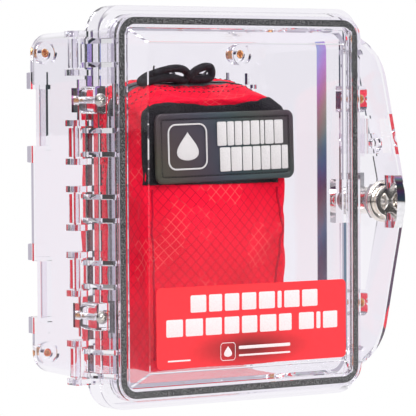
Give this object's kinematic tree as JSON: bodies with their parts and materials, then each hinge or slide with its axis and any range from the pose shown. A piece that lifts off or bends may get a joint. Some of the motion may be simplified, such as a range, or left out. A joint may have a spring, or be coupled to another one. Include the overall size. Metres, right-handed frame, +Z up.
{
  "type": "wall-mounted bleeding control kit",
  "caption": "Clear hinged wall case with a wing-knob latch, holding a red zipped pouch with a rubber patch and a windlass tourniquet inside.",
  "frame": {"origin": "centre of the rear mounting plane, on the pads that rest on the wall", "axes": "+Z up, +X to the right as seen from the front, +Y into the wall; the door faces -Y"},
  "size_m": [0.2505, 0.1545, 0.2646],
  "materials": {
    "clear_polycarbonate": "clear moulded polycarbonate, glossy",
    "brass": "turned brass, satin",
    "steel": "bright stainless steel",
    "chrome": "polished chrome plate",
    "foam_gasket": "matt closed-cell foam, faintly speckled",
    "sign": "printed vinyl, satin",
    "red_ripstop": "coated ripstop nylon with a diamond grid",
    "zipper_fabric": "woven zipper tape with coil",
    "black_cord": "braided cord",
    "slider_metal": "black painted die casting",
    "loop_fabric": "black hook-and-loop pile",
    "patch_rubber": "moulded soft rubber, satin",
    "webbing": "woven nylon webbing",
    "black_plastic": "glass-filled nylon, matt",
    "gauze": "gauze in a vacuum pack"
  },
  "bodies": {
    "case": {"body_shell": "clear_polycarbonate", "hinge_leaf": "clear_polycarbonate", "hinge_pins": "clear_polycarbonate", "hinge_screws": "steel", "hinge_leaf_inserts": "brass", "flange_inserts": "brass", "panel_inserts": "brass", "pouch_front": "red_ripstop", "pouch_back": "red_ripstop", "zipper_tape": "zipper_fabric", "loop_panel": "loop_fabric", "patch": "patch_rubber", "tourniquet_strap": "webbing", "tourniquet_base": "black_plastic", "tourniquet_windlass": "black_plastic", "windlass_clip": "black_plastic", "tourniquet_buckle": "black_plastic", "gauze_pack": "gauze"},
    "door": {"door_shell": "clear_polycarbonate", "gasket": "foam_gasket", "label": "sign", "latch_bezel": "chrome", "latch_nut": "steel"},
    "knob": {"wing_knob": "chrome", "latch_cam": "steel", "cam_screw": "steel"},
    "slider_left": {"slider_left": "slider_metal", "cord_left": "black_cord"},
    "slider_right": {"slider_right": "slider_metal", "cord_right": "black_cord"}
  },
  "joints": [
    {"name": "door_swing", "type": "hinge", "parent": "case", "child": "door", "pos_m": [-0.1115, -0.102, 0], "axis": [0, 0, -1], "range_deg": [0, 170]},
    {"name": "knob_turn", "type": "hinge", "parent": "door", "child": "knob", "pos_m": [0.1157, -0.13, 0], "axis": [0, -1, 0], "range_deg": [0, 90]},
    {"name": "slider_left_travel", "type": "slide", "parent": "case", "child": "slider_left", "axis": [-1, 0, 0], "range_m": [0, 0.012]},
    {"name": "slider_right_travel", "type": "slide", "parent": "case", "child": "slider_right", "axis": [1, 0, 0], "range_m": [0, 0.03]}
  ]
}
